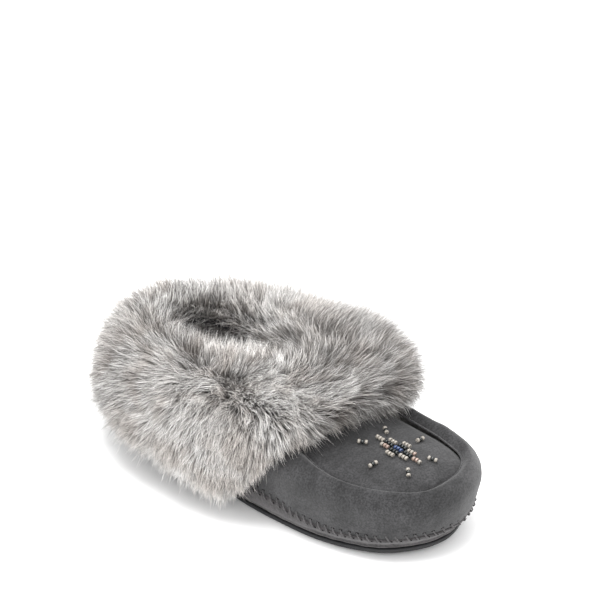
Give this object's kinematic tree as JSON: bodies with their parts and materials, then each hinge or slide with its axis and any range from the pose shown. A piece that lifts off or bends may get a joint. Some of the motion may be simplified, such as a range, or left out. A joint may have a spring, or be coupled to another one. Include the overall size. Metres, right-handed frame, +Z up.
{
  "type": "fluffy house slipper",
  "caption": "Right-foot suede moccasin slipper with a beaded vamp panel, padded toe roll, thin sole turned up a little at the toe, and a deep fur cuff round the foot opening.",
  "frame": {"origin": "on the ground under the middle of the bounding box", "axes": "+Z up, -Y toward the toe, +X toward the inner side of the foot"},
  "size_m": [0.15, 0.2678, 0.078],
  "materials": {
    "suede": "brushed charcoal suede",
    "suede_band": "lighter suede band",
    "sole_rubber": "matt dark rubber",
    "foam": "closed-cell foam",
    "board": "fibre board",
    "fleece": "short fleece",
    "fur": "long grey fur with pale tips",
    "textile": "woven lining",
    "thread": "waxed thread",
    "bead_white": "opaque white glass",
    "bead_dark": "opaque near-black glass",
    "bead_blue": "blue glass"
  },
  "bodies": {
    "root": {"beads_core": "bead_blue", "beads_core_heel": "bead_dark", "beads_core_toe": "bead_dark", "beads_inner_edge": "bead_white", "beads_inner_heel": "bead_white", "beads_inner_mid": "bead_dark", "beads_inner_toe": "bead_white", "beads_outer_edge": "bead_white", "beads_outer_heel": "bead_white", "beads_outer_mid": "bead_dark", "beads_outer_toe": "bead_white", "beads_ray_1": "bead_white", "beads_ray_2": "bead_white", "beads_ray_3": "bead_white", "beads_ray_4": "bead_white", "beads_ray_5": "bead_white", "beads_ray_6": "bead_white", "beads_tip_heel": "bead_white", "beads_tip_toe": "bead_white", "collar_band": "suede", "footbed": "fleece", "fur_cuff": "fur", "heel_counter": "board", "lace_lower": "thread", "lace_upper": "thread", "lasting_board": "board", "midsole_foam": "foam", "outsole": "sole_rubber", "sole_wrap": "suede_band", "throat_fur": "fur", "toe_puff": "board", "upper_wall": "suede", "vamp_lining": "textile", "vamp_plug": "suede", "vamp_seam_cord": "thread", "wall_lining": "textile"}
  },
  "joints": []
}
